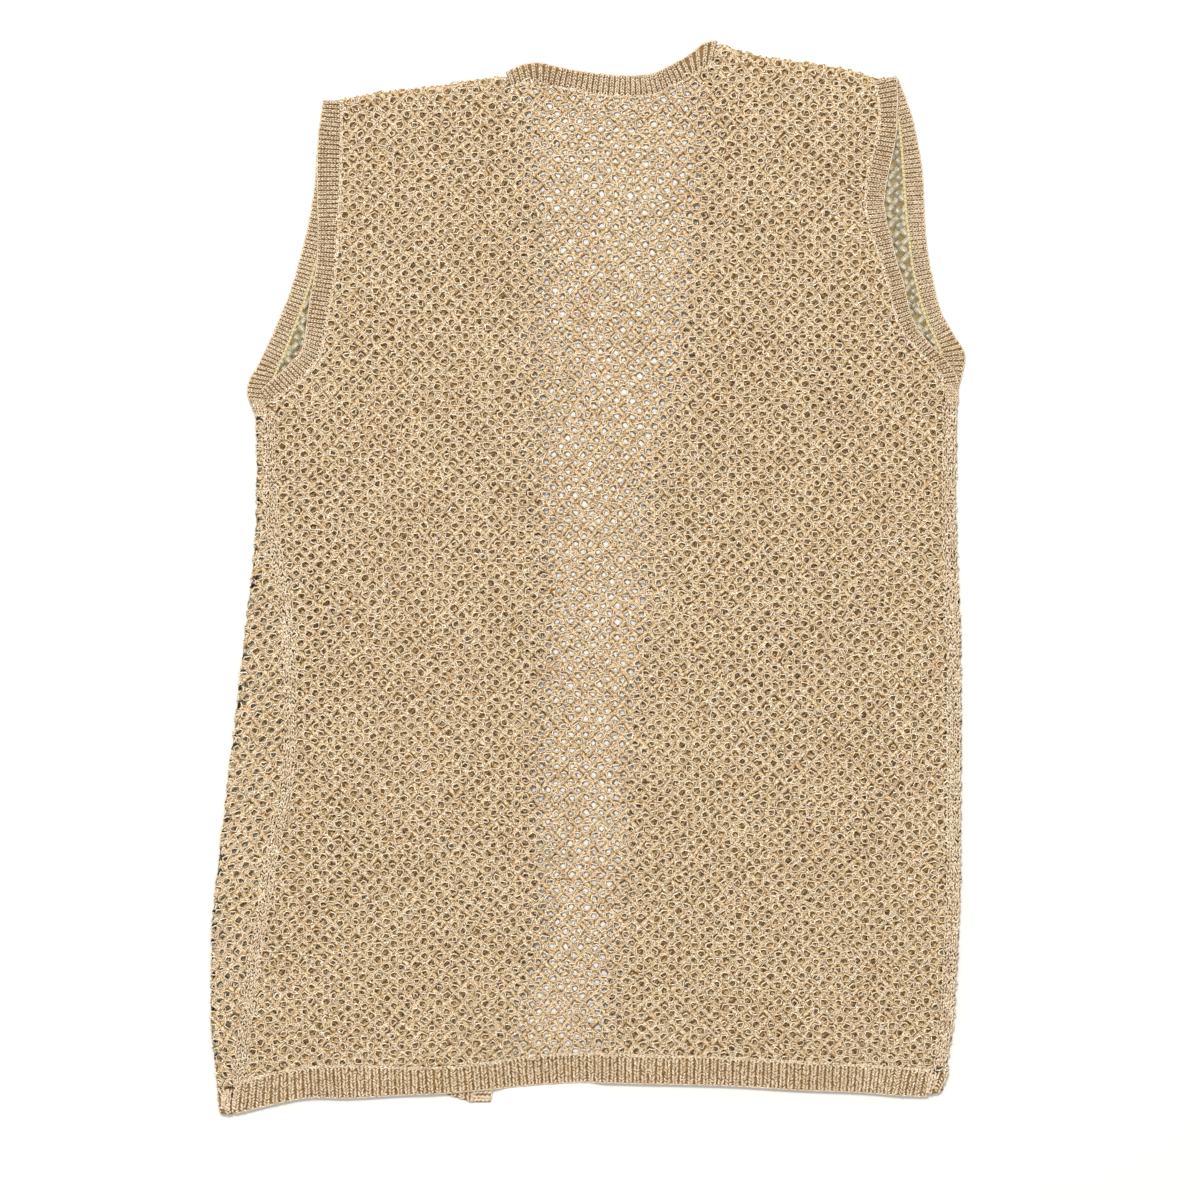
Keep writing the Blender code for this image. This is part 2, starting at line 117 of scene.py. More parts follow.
@dataclass
class Solid:
    """A node of the frame, read as a surface.

    Args:
        name: the node's name.
    """

    name: str
    tree: BVHTree = field(init=False)
    points: Points = field(init=False)
    triangles: np.ndarray = field(init=False)

    HIGH = 0.1          # metres above and below the garment, where a reading ray starts
    EXACT = 0.001 * MM  # to which the points of neighbouring triangles are taken as one
    FLAT = 0.7 * WALL   # level up to which a web is made, where the cloth leaves the table
    INSIDE = 0.6 * WALL     # most distance from the surface of a point midway through the wall

    def __post_init__(self) -> None:
        """Merge the node's loose triangles and prepare them for rays."""
        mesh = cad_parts[self.name].data
        mesh.calc_loop_triangles()
        loose = np.array([v.co for v in mesh.vertices])
        keys, back = np.unique(np.round(loose / self.EXACT), axis=0, return_inverse=True)
        self.points = keys * self.EXACT
        corners = np.array([t.vertices for t in mesh.loop_triangles])
        self.triangles = back.reshape(-1)[corners]
        self.tree = BVHTree.FromPolygons(self.points.tolist(), self.triangles.tolist())

    def hit(self, start: tuple[float, float, float], way: tuple[float, float, float]) -> Vector | None:
        """Where a ray first meets the solid, or None past its edge."""
        return self.tree.ray_cast(start, way)[0]

    def top(self, x: float, y: float) -> float | None:
        """Height of the upper surface over a place, or None past the edge."""
        hit = self.hit((x, y, self.HIGH), (0, 0, -1))
        return None if hit is None else hit.z

    def under(self, x: float, y: float) -> float | None:
        """Height of the lower surface over a place, or None past the edge."""
        hit = self.hit((x, y, -self.HIGH), (0, 0, 1))
        return None if hit is None else hit.z

    def nearest_top(self, x: float, y: float) -> float:
        """Height of the upper surface over a place, or of the nearest edge past it."""
        top = self.top(x, y)
        return self.tree.find_nearest((x, y, self.HIGH))[0].z if top is None else top

    def side_x(self, side: Side, y: float, z: float) -> float | None:
        """Place across of the outermost surface at a height y and level z."""
        hit = self.hit((side.value, y, z), (-side.value, 0, 0))
        return None if hit is None else hit.x

    def span_y(self, x: float, z: float) -> tuple[float, float] | None:
        """Lowest and highest y of the solid at a place across and a level z."""
        low, high = (self.hit((x, -way, z), (0, way, 0)) for way in (1, -1))
        return None if low is None or high is None else (low.y, high.y)

    def facing(self) -> Points:
        """The way out of each triangle, as long as twice its area."""
        corners = self.points[self.triangles]
        return np.cross(corners[:, 1] - corners[:, 0], corners[:, 2] - corners[:, 0])

    def cloth_area(self) -> float:
        """Area of one face of the cloth, as half of the whole surface."""
        return float(np.linalg.norm(self.facing(), axis=1).sum() / 4)

    def holds(self, point: Points) -> bool:
        """Whether a point that should be midway through the wall is inside it."""
        place, normal, _, distance = self.tree.find_nearest(point.tolist())
        return distance < self.INSIDE and (place - Vector(point.tolist())).dot(normal) >= 0

    def distance(self, rows: Points) -> float:
        """Mean distance of some points from the surface."""
        return float(np.mean([self.tree.find_nearest(row.tolist())[3] for row in rows]))

    def web(self, name: str, thickness: float, raised: float, finish: "Finish") -> bpy.types.Object:
        """A thin closed sheet inside the wall, where the cloth lies flat.

        Args:
            name: the new piece's name.
            thickness: of the sheet.
            raised: how far over the wall's middle it is.
            finish: its material's maker.

        Returns:
            The piece, which ends where the cloth rolls up.
        """
        normals, facing = np.zeros_like(self.points), self.facing()
        for corner in range(3):
            np.add.at(normals, self.triangles[:, corner], facing)
        sunk = self.points - unit(normals) * (WALL - thickness) / 2
        mesh = bpy.data.meshes.new(name)
        mesh.from_pydata(sunk.tolist(), [], self.triangles.tolist())
        form = bmesh.new()
        form.from_mesh(mesh)
        cut = bmesh.ops.bisect_plane(
            form, geom=[*form.verts, *form.edges, *form.faces], plane_co=(0, 0, self.FLAT),
            plane_no=(0, 0, 1), clear_outer=True,
        )
        rim = [e for e in cut["geom_cut"] if isinstance(e, bmesh.types.BMEdge) and e.is_boundary]
        bmesh.ops.triangle_fill(form, edges=rim, use_beauty=True)
        bmesh.ops.translate(form, vec=(0, 0, raised), verts=form.verts)
        bmesh.ops.recalc_face_normals(form, faces=form.faces)
        form.to_mesh(mesh)
        form.free()
        return dress(name, mesh, finish)


@dataclass
class Bundle:
    """Lengths of yarn that are gathered into one mesh.

    Args:
        name: the piece's name.
        seed: of the unevenness of its stitches.
    """

    name: str
    seed: tuple[int, ...] = ()
    points: list[Points] = field(default_factory=list)
    quads: list[np.ndarray] = field(default_factory=list)
    caps: list[list[int]] = field(default_factory=list)
    around: list[np.ndarray] = field(default_factory=list)
    count: int = 0

    SIDES = 3           # faces round a length of yarn, with a crest along it

    def __post_init__(self) -> None:
        """Start the source of the unevenness."""
        self.rng = np.random.default_rng([SEED, *self.seed])

    def lay(self, paths: Points, normals: Points, width: float, height: float) -> None:
        """Sweep closed lengths of yarn along paths of equally many points, pressed flat on the table.

        Args:
            paths: lengths x points x 3, in metres.
            normals: the cloth's way up at each point, in the same form.
            width: the yarn's size along the cloth.
            height: the yarn's size across the cloth's thickness.
        """
        lengths, steps, _ = paths.shape
        sides = self.SIDES
        tangent = unit(np.gradient(paths, axis=1))
        across = unit(np.cross(tangent, normals))
        upward = np.cross(across, tangent)
        turn = pi / 2 + 2 * pi * np.arange(sides) / sides
        fill = 1 / cos(pi / sides) ** 0.5       # a flat-sided tube as full as a round one
        wide = (np.cos(turn) * width / 2 * fill)[:, None]
        high = (np.sin(turn) * height / 2 * fill)[:, None]
        ring = paths[:, :, None] + across[:, :, None] * wide + upward[:, :, None] * high
        ring[..., 2] = np.maximum(ring[..., 2], 0.0)
        index = self.count + np.arange(lengths * steps * sides).reshape(lengths, steps, sides)
        beside = np.roll(index, -1, axis=2)
        wall = np.stack([index[:, :-1], index[:, 1:], beside[:, 1:], beside[:, :-1]], axis=-1)
        along = np.cumsum(np.linalg.norm(np.diff(paths, axis=1, prepend=paths[:, :1]), axis=2), axis=1)
        u = np.broadcast_to(along[:, :, None], index.shape)
        v = np.broadcast_to(np.arange(sides) / sides, index[:, 1:].shape)
        w = np.broadcast_to(np.arange(sides) / sides + 1 / sides, v.shape)
        place = np.stack([u[:, :-1], v, u[:, 1:], v, u[:, 1:], w, u[:, :-1], w], axis=-1)
        self.caps += [*index[:, 0].tolist(), *index[:, -1, ::-1].tolist()]
        self.points.append(ring.reshape(-1, 3))
        self.quads.append(wall.reshape(-1, 4))
        self.around.append(place.reshape(-1, 8))
        self.count += lengths * steps * sides

    def make(self, finish: "Finish") -> bpy.types.Object:
        """Turn what was gathered into a smooth piece with a finish.

        Args:
            finish: the material's maker.

        Returns:
            The new piece.
        """
        mesh = bpy.data.meshes.new(self.name)
        walls = np.concatenate(self.quads).tolist()
        mesh.from_pydata(np.concatenate(self.points), [], walls + self.caps)
        layer = mesh.uv_layers.new(name="along_yarn")
        place = np.concatenate(self.around) * np.tile([MAP_SCALE, 1.0], 4)
        # the caps have no length on the map
        ends = np.zeros(2 * sum(len(cap) for cap in self.caps))
        layer.uv.foreach_set("vector", np.concatenate([place.ravel(), ends]))
        return dress(self.name, mesh, finish)


def dress(name: str, mesh: bpy.types.Mesh, finish: "Finish") -> bpy.types.Object:
    """Put a mesh in the garment as a smooth named piece with its finish.

    Args:
        name: the piece's name.
        mesh: its mesh, in the frame's place.
        finish: the material's maker.

    Returns:
        The piece, on the garment's one body.
    """
    if not mesh.uv_layers:
        mesh.uv_layers.new(name="along_yarn")
    mesh.shade_smooth()
    mesh.materials.append(finish.material())
    piece = bpy.data.objects.new(name, mesh)
    bpy.context.scene.collection.objects.link(piece)
    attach(piece, "root")
    log.info("%s: %d faces", name, len(mesh.polygons))
    return piece


# ---- finishes ----
def add_node(tree: bpy.types.NodeTree, kind: str, links: dict | None = None, **settings) -> bpy.types.Node:
    """Add a shader node with its settings and links.

    Args:
        tree: the material's node tree.
        kind: Blender's name for the node, without its "ShaderNode".
        links: for an input's name or number, an output, a node for its first output, or a plain value.
        settings: the node's own properties.

    Returns:
        The new node.
    """
    node = tree.nodes.new(f"ShaderNode{kind}")
    for setting, value in settings.items():
        setattr(node, setting, value)
    for socket, source in (links or {}).items():
        if isinstance(source, bpy.types.Node):
            source = source.outputs[0]
        if isinstance(source, bpy.types.NodeSocket):
            tree.links.new(source, node.inputs[socket])
        else:
            node.inputs[socket].default_value = source
    return node


@dataclass(frozen=True)
class Finish:
    """A knitting yarn of matt fibre spun with a flat metal-coated thread.

    The fibre gives a soft beige body, with a painted shade in gold between its turns and a painted
    highlight on their crowns, and the metal thread a scatter of small bright glints: a painted near-white
    highlight in the colour of a share of its facets, with a real metallic reflection where they face the
    light.

    Args:
        name: the material's name.
        light: colour of the fibre on the crowns of its turns, as a painted highlight.
        deep: colour between the turns, as a painted shade, and in the tone's darker patches.
        glint: colour of the metal thread's bare facets, near white: a painted highlight.
        glints: share of the metal's facets that are bare and carry the painted glint colour, from 0 to 1.
        flecks: how far the tone changes from one facet to the next, as a share of its whole range.
        crimp: how far single bent fibres stand out from the rest, as a share of the tone's range.
        twist: length of one turn of the spun yarn, in metres.
        roughness: of the fibre.
    """

    name: str
    light: str
    deep: str
    glint: str = "#FFF8E6"
    glints: float = 0.16
    flecks: float = 0.3
    crimp: float = 0.1
    twist: float = 2.2 * MM
    roughness: float = 0.62

    FACET = 1.0 * MM    # of the metal thread, where it shows between two turns
    PATCH = 38.0 * MM   # of the slow changes of tone over the cloth
    FIBRE = 0.35 * MM   # coarser than the real fibre, so that it shows
    COATING = 0.4       # how metallic a bare facet is, kept low so that its painted near-white glint shows under any light
    POLISH = 0.26       # roughness of a bare facet
    BARE = 0.42         # radius of a bare facet, as a share of its spacing
    BEND = 1.7 * MM     # from one bend of a crimped fibre to the next
    LINE = (0.03, 0.12)     # how far the noise is off its middle on a crimped fibre, and beside it
    PLY = 0.22          # how far the painted shade and highlight change the tone over a ply, as a share of its range
    PATCHY = 0.05       # how far it changes from one patch to the next
    TONES = (0.2, 0.75)     # share at which the tone is deep, and at which it is light
    RAISED = (0.5, 5.0, 0.12 * MM)  # relief of a ply and of a crimped fibre, and depth of the whole

    def material(self) -> bpy.types.Material:
        """The finish's material, made once.

        Returns:
            The material of that name.
        """
        if self.name in bpy.data.materials:
            return bpy.data.materials[self.name]
        material = bpy.data.materials.new(self.name)
        material.use_nodes = True
        tree = material.node_tree
        place = add_node(tree, "TexCoord")
        body = place.outputs["Object"]

        # plies: stripes that run round the yarn as they go along it, raised in relief and painted with
        # shade between the turns
        apart = add_node(tree, "SeparateXYZ", {0: place.outputs["UV"]})
        turns = add_node(
            tree, "Math", {0: apart, 1: 1 / MAP_SCALE / self.twist, 2: apart.outputs["Y"]},
            operation="MULTIPLY_ADD",
        )
        angle = add_node(tree, "Math", {0: turns, 1: 4 * pi}, operation="MULTIPLY")
        ply = add_node(tree, "Math", {0: angle}, operation="SINE")
        fibre = add_node(tree, "TexNoise", {"Vector": body, "Scale": 1 / self.FIBRE, "Detail": 2.0})
        patch = add_node(tree, "TexNoise", {"Vector": body, "Scale": 1 / self.PATCH, "Detail": 3.0})

        # crimped fibres: thin bent lines, where a noise passes through its middle
        bends = add_node(tree, "TexNoise", {"Vector": body, "Scale": 1 / self.BEND, "Detail": 1.0})
        off = add_node(tree, "Math", {0: bends, 1: 0.5}, operation="SUBTRACT")
        aside = add_node(tree, "Math", {0: off}, operation="ABSOLUTE")
        line = add_node(
            tree, "MapRange",
            {"Value": aside, "From Min": self.LINE[0], "From Max": self.LINE[1], "To Min": self.crimp,
             "To Max": -0.6 * self.crimp},
        )

        # colour: deep in a painted shade between the plies and in the patches, light in a painted
        # highlight on the crowns, and flecked
        share = add_node(tree, "Math", {0: ply, 1: self.PLY, 2: fibre}, operation="MULTIPLY_ADD")
        tone = add_node(
            tree, "MapRange",
            {"Value": patch, "From Min": 0.3, "From Max": 0.7, "To Min": -self.PATCHY,
             "To Max": self.PATCHY},
        )
        facets = add_node(tree, "TexVoronoi", {"Vector": body, "Scale": 1 / self.FACET})
        chance = add_node(tree, "SeparateColor", {0: facets.outputs["Color"]})
        fleck = add_node(
            tree, "MapRange",
            {"Value": chance.outputs["Green"], "To Min": -self.flecks, "To Max": self.flecks},
        )
        for change in (tone, fleck, line):
            share = add_node(tree, "Math", {0: share, 1: change}, operation="ADD")
        ramp = add_node(tree, "ValToRGB", {0: share})
        tones = zip(ramp.color_ramp.elements, self.TONES, (self.deep, self.light), strict=True)
        for stop, position, colour in tones:
            stop.position, stop.color = position, linear(colour)

        # the metal thread: a share of the facets, bare round their middles, with a painted near-white
        # highlight in their colour and a real, smoother metallic reflection
        shows = add_node(tree, "Math", {0: chance, 1: 1 - self.glints}, operation="GREATER_THAN")
        near = add_node(tree, "Math", {0: facets, 1: self.BARE}, operation="LESS_THAN")
        metal = add_node(tree, "Math", {0: shows, 1: near}, operation="MULTIPLY")
        colour = add_node(tree, "Mix", {0: metal, 6: ramp, 7: linear(self.glint)}, data_type="RGBA")
        rough = add_node(
            tree, "MapRange", {"Value": metal, "To Min": self.roughness, "To Max": self.POLISH}
        )
        bare = add_node(tree, "Math", {0: metal, 1: self.COATING}, operation="MULTIPLY")

        # relief: plies, fibres and crimped fibres
        of_ply, of_line, depth = self.RAISED
        turned = add_node(tree, "Math", {0: ply, 1: of_ply, 2: fibre}, operation="MULTIPLY_ADD")
        height = add_node(tree, "Math", {0: line, 1: of_line, 2: turned}, operation="MULTIPLY_ADD")
        bump = add_node(tree, "Bump", {"Height": height, "Strength": 0.5, "Distance": depth})

        shader = tree.nodes["Principled BSDF"]
        shader.inputs["Specular IOR Level"].default_value = 0.25
        sources = {
            "Base Color": colour.outputs[2], "Roughness": rough.outputs[0], "Metallic": bare.outputs[0],
            "Normal": bump.outputs[0],
        }
        for socket, source in sources.items():
            tree.links.new(source, shader.inputs[socket])
        return material


# Lurex yarn in the loops of the net: the most glints, and pale cream crowns
NET_YARN = Finish("lurex_yarn_net_loops", light="#FFF5E0", deep="#D4AF80", glints=0.42)
# The same yarn deep in the net's strands, painted darker as the shade of its loops: tan with crimped cream
# fibres
NET_CORE_SHADE = Finish("lurex_yarn_net_cores", light="#F0D8AE", deep="#A67B45", glints=0.12, crimp=0.4)
# The same yarn on the wrong side of a bare front: smooth and even, a greyish beige
BARE_NET = Finish("lurex_yarn_wrong_side", light="#E8DFC6", deep="#C6B68E", glints=0.08, flecks=0.12)
# The same yarn under the back, painted lighter and warmer for the light that comes through the back's
# yarn: a warm gold
SHADED_NET = Finish("lurex_yarn_under_back", light="#FFDBA2", deep="#E2B26C", glints=0.08, flecks=0.12)
# The fine yarn of the web inside a front's net, seen through its holes: a dull olive brown, painted as the
# shade deep in the holes
INNER_WEB_SHADE = Finish("lurex_yarn_inner_web", light="#B0965C", deep="#866C3A", glints=0.04, flecks=0.12)
# The same yarn in a tight rib: rounder and smoother, with fewer glints
RIB_YARN = Finish("lurex_yarn_rib_knitted", light="#F8E8D0", deep="#C0A176", glints=0.22)
# The yarn inside a rib, seen in the narrow furrows between its wales: dull and deeper, painted as the
# furrows' shade
RIB_GROUND_SHADE = Finish("lurex_yarn_rib_ground", light="#9C7A48", deep="#6A4C26", glints=0.05)
# Plain linking thread without metal, a little yellower than the yarn
LINKING_THREAD = Finish("plain_linking_thread", light="#E6D6A8", deep="#C9B582", glints=0.0, flecks=0.1)
# the cores' finish by how they lie: under the back a copy with painted light, where shown a copy with
# painted shade
CORE_FINISHES = {Lie.UNDER: SHADED_NET, Lie.BARE: BARE_NET, Lie.SHOWN: NET_CORE_SHADE}


@dataclass(frozen=True)
class StageFloor:
    """Matt white background paper, which the light turns to an even white ground."""

    name: str = "matt_background_paper"
    tone: str = "#ECEBE8"
    shade: str = "#E8E6E3"

    def material(self) -> bpy.types.Material:
        """The paper's material, with a faint mottle.

        Returns:
            The material of that name.
        """
        material = bpy.data.materials.new(self.name)
        material.use_nodes = True
        tree = material.node_tree
        shader = tree.nodes["Principled BSDF"]
        place = add_node(tree, "TexCoord")
        mottle = add_node(tree, "TexNoise", {"Vector": place.outputs["Object"], "Scale": 12.0})
        ramp = add_node(tree, "ValToRGB", {0: mottle})
        ramp.color_ramp.elements[0].color = linear(self.shade)
        ramp.color_ramp.elements[1].color = linear(self.tone)
        tree.links.new(ramp.outputs[0], shader.inputs["Base Color"])
        shader.inputs["Roughness"].default_value = 0.9
        return material


# ---- the net ----
class Cloth(Protocol):
    """Cloth that yarn is laid in."""

    def holds(self, x: float, y: float) -> bool:
        """Whether a place on the flat cloth is inside its edges."""

    def lie(self, x: float, y: float) -> Lie:
        """How the cloth lies at a place on the flat cloth."""

    def lay(self, x: float, y: float, lift: float) -> tuple[Points, Points]:
        """A point over the cloth's middle, and the way out of its right side."""


@dataclass(frozen=True)
class Curl:
    """A bowed length of the yarn that stands on the net.

    Args:
        radius: from its centre to the yarn.
        turns: angle of each of its points from its crown, in radians.
        lifts: of each of its points over the cloth's middle.
        sway: standard deviation of its crown's angle, in radians.
    """

    radius: float
    turns: tuple[float, ...]
    lifts: tuple[float, ...]
    sway: float

    WIDER = (1.08, 0.94)    # stretch across and along the garment
    SIZES = 0.17            # standard deviation of a curl's size, as a share
    LOOSE = 0.36 * MM       # standard deviation of a point from its place
    UNEVEN = 0.16 * MM      # standard deviation of a lift

    def around(self, centres: Points, crown: float, rng: np.random.Generator) -> tuple[Points, Points]:
        """Bend one length of yarn round each centre.

        Args:
            centres: flat places.
            crown: angle of the crowns from the way up the garment.
            rng: source of the unevenness.

        Returns:
            The flat paths, and their points' lifts.
        """
        count, points = len(centres), len(self.turns)
        at = crown + np.array(self.turns) + rng.normal(0.0, self.sway, (count, 1))
        size = self.radius * rng.normal(1.0, self.SIZES, (count, 1, 1))
        bow = np.stack([np.sin(at), np.cos(at)], axis=-1) * size * self.WIDER
        flat = centres[:, None] + bow + rng.normal(0.0, self.LOOSE, (count, points, 2))
        return flat, np.array(self.lifts) + rng.normal(0.0, self.UNEVEN, (count, points))


# half of a hole's rim, with its feet tucked into the strands beside it
RIM = Curl(2.4 * MM, (-1.9, -0.65, 0.65, 1.9), (0.0, 0.6 * MM, 0.7 * MM, 0.1 * MM), 0.4)
# a small loop that stands on a crossing
KNOT = Curl(1.3 * MM, (-2.2, -0.75, 0.75, 2.2), (0.1 * MM, 0.85 * MM, 0.85 * MM, 0.1 * MM), 0.7)


@dataclass
class NetKnit:
    """An open net knit: one hole to each column of each half-row, the rows staggered.

    Its strands run slantwise between crossings, midway between the holes of a row, and have a
    core deep in the cloth. Curls of yarn stand on them: two halves of a rim round each hole, and
    small loops on each crossing. Where the wrong side is up there are only the upper halves.

    Args:
        column: from one hole to the next along a row.
        half_row: from one row of holes to the staggered row over it.
        core: width and height of a strand's core.
        yarn: width and height of the yarn in the curls.
        knots: how many small loops stand on each crossing.
        uneven: standard deviation of a crossing's place.
        seed: of the unevenness.
        shift: share of a column by which the net is moved across.
    """

    column: float = 9.15 * MM
    half_row: float = 4.84 * MM
    core: tuple[float, float] = (3.1 * MM, 0.7 * MM)
    yarn: tuple[float, float] = (0.85 * MM, 0.8 * MM)
    knots: int = 2
    uneven: float = 0.5 * MM
    seed: int = SEED
    shift: float = 0.0

    LIFT = 0.3 * MM     # of a core over or under its middle level at a crossing
    SUNK = 0.45 * MM    # of the cores' middle level under the cloth's
    ASIDE = 0.7 * MM    # standard deviation of a small loop's centre from its crossing
    TESTS = 6           # places of a strand at which it is tested whether the cloth holds it
    # waves across and along the garment: height, length, slope of the crests and start
    ACROSS = ((1.6 * MM, 0.310, (0.0, 1.0), 0.8), (0.8 * MM, 0.170, (1.0, 1.0), 0.0))
    ALONG = ((2.4 * MM, 0.330, (1.0, 0.0), 2.2), (0.9 * MM, 0.190, (1.0, -1.3), 0.0))

    def drift(self, place: Points) -> Points:
        """Gentle waves of the rows and columns, as the cloth was laid by hand."""
        moves = np.zeros_like(place)
        for axis, waves in enumerate((self.ACROSS, self.ALONG)):
            for height, length, slope, start in waves:
                reach = place[..., 0] * slope[0] + place[..., 1] * slope[1]
                moves[..., axis] += height * np.sin(2 * pi * reach / length + start)
        return moves

    def knit(
        self, cloth: Cloth, low: Points, high: Points, cores: dict[Lie, Bundle], curls: list[Bundle],
        cuts: tuple[float, ...] = (),
    ) -> None:
        """Knit the net in a cloth.

        Args:
            cloth: where the yarn is laid.
            low: least x and y of the flat cloth.
            high: greatest x and y of the flat cloth.
            cores: where the strands' cores are gathered, by how they lie.
            curls: where the curls are gathered, from left to right.
            cuts: places across the cloth that part one gathering of curls from the next.
        """
        rng = np.random.default_rng(self.seed)
        half = self.column / 2
        u = np.arange(int(low[0] / half) - 3, int(high[0] / half) + 4)
        v = np.arange(int(low[1] / self.half_row) - 3, int(high[1] / self.half_row) + 4)
        place = np.stack(np.meshgrid((u + 2 * self.shift) * half, v * self.half_row), axis=-1)
        place += rng.normal(0.0, self.uneven, place.shape) + self.drift(place)
        crossing = (u + v[:, None]) % 2 == 1
        upper = np.broadcast_to(1 - 2 * (v[:, None] % 2), crossing.shape)
        for slant in Slant:
            first = crossing[:-1, 1:-1]
            after = place[1:, 2:] if slant is Slant.RISING else place[1:, :-2]
            start, step = place[:-1, 1:-1][first], after[first] - place[:-1, 1:-1][first]
            over = slant.value * upper[:-1, 1:-1][first]
            self.strand(cloth, start, step, over, cores)
        shown = np.array([cloth.lie(x, y) is Lie.SHOWN for x, y in place.reshape(-1, 2).tolist()])
        shown = shown.reshape(crossing.shape)
        groups = [(RIM, place[~crossing], 0.0), (RIM, place[~crossing & shown], pi)]
        groups += [(KNOT, place[crossing & shown], knot * pi) for knot in range(self.knots)]
        for curl, centres, crown in groups:
            moved = centres + rng.normal(0.0, self.ASIDE if curl is KNOT else 0.0, centres.shape)
            held = [cloth.holds(x, y) for x, y in moved.tolist()]
            flat, lifts = curl.around(moved[held], crown, rng)
            self.gather(cloth, flat, lifts, self.yarn, curls, np.searchsorted(cuts, flat[:, 0, 0]))

    def strand(
        self, cloth: Cloth, start: Points, step: Points, over: np.ndarray, cores: dict[Lie, Bundle]
    ) -> None:
        """Lay the cores of one family of strands, as far as they are inside the cloth.

        Args:
            cloth: where the yarn is laid.
            start: the strands' starts.
            step: from their starts to their ends.
            over: for each start, 1 where the strand lies over its crossing and -1 where under.
            cores: where the cores are gathered, by how they lie.
        """
        tests = np.linspace(0.0, 1.0, self.TESTS)
        spots = start[:, None] + step[:, None] * tests[:, None]
        held = np.array([cloth.holds(x, y) for x, y in spots.reshape(-1, 2).tolist()])
        held = held.reshape(-1, self.TESTS)
        shares = np.column_stack([tests[held.argmax(axis=1)], 1 - tests[held[:, ::-1].argmax(axis=1)]])
        kept = held.any(axis=1) & (shares[:, 1] > shares[:, 0])
        shares = shares[kept]
        flat = start[kept][:, None] + step[kept][:, None] * shares[..., None]
        lifts = over[kept][:, None] * self.LIFT * (1 - 2 * shares) - self.SUNK
        lies = [list(cores).index(cloth.lie(x, y)) for x, y in flat[:, 0].tolist()]
        self.gather(cloth, flat, lifts, self.core, list(cores.values()), np.array(lies))

    def gather(
        self, cloth: Cloth, flat: Points, lifts: np.ndarray, yarn: tuple[float, float],
        bundles: list[Bundle], owner: np.ndarray,
    ) -> None:
        """Lay flat paths in the cloth and add them to the gathering that they belong to.

        Args:
            cloth: where the yarn is laid.
            flat: paths x points x 2.
            lifts: of the points over the cloth's middle.
            yarn: its width and height.
            bundles: the gatherings.
            owner: number of the gathering that each path belongs to.
        """
        rows = zip(flat.reshape(-1, 2).tolist(), lifts.ravel().tolist(), strict=True)
        spots = [cloth.lay(x, y, lift) for (x, y), lift in rows]
        points, normals = (np.array(part).reshape(*lifts.shape, 3) for part in zip(*spots, strict=True))
        for number in np.unique(owner):
            mine = owner == number
            bundles[number].lay(points[mine], normals[mine], *yarn)


@dataclass
class Back:
    """The back: a net that lies over the fronts and sags to the table between them.

    Args:
        net: its knitting.
        cuts: places across where the loops' meshes are parted, on the same unbroken net.
    """

    net: NetKnit = field(default_factory=NetKnit)
    cuts: tuple[float, float] = (-70.0 * MM, 78.0 * MM)

    PARTS = ("left", "middle", "right")

    def __post_init__(self) -> None:
        """Read the back's solid."""
        self.solid = Solid("back_panel")

    def holds(self, x: float, y: float) -> bool:
        """Whether a place is inside the back's edges."""
        return self.solid.top(x, y) is not None

    def lie(self, x: float, y: float) -> Lie:
        """The back's right side is up everywhere."""
        return Lie.SHOWN

    def lay(self, x: float, y: float, lift: float) -> tuple[Points, Points]:
        """A point over the middle of the back's cloth, and the way up."""
        level = self.solid.nearest_top(x, y) - WALL / 2 + lift
        return np.array([x, y, level]), UP

    def build(self) -> None:
        """Knit the back, whose cores take the place of its hidden solid."""
        core = Bundle("back_net_core")
        loops = [Bundle(f"back_net_loops_{part}") for part in self.PARTS]
        low, high = self.solid.points.min(0), self.solid.points.max(0)
        self.net.knit(self, low, high, {Lie.SHOWN: core}, loops, self.cuts)
        cloth = core.make(NET_CORE_SHADE)
        stitches = [bundle.make(NET_YARN) for bundle in loops]
        for piece in (cloth, *stitches):
            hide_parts("back_panel")
        self.solid.cloth_area()


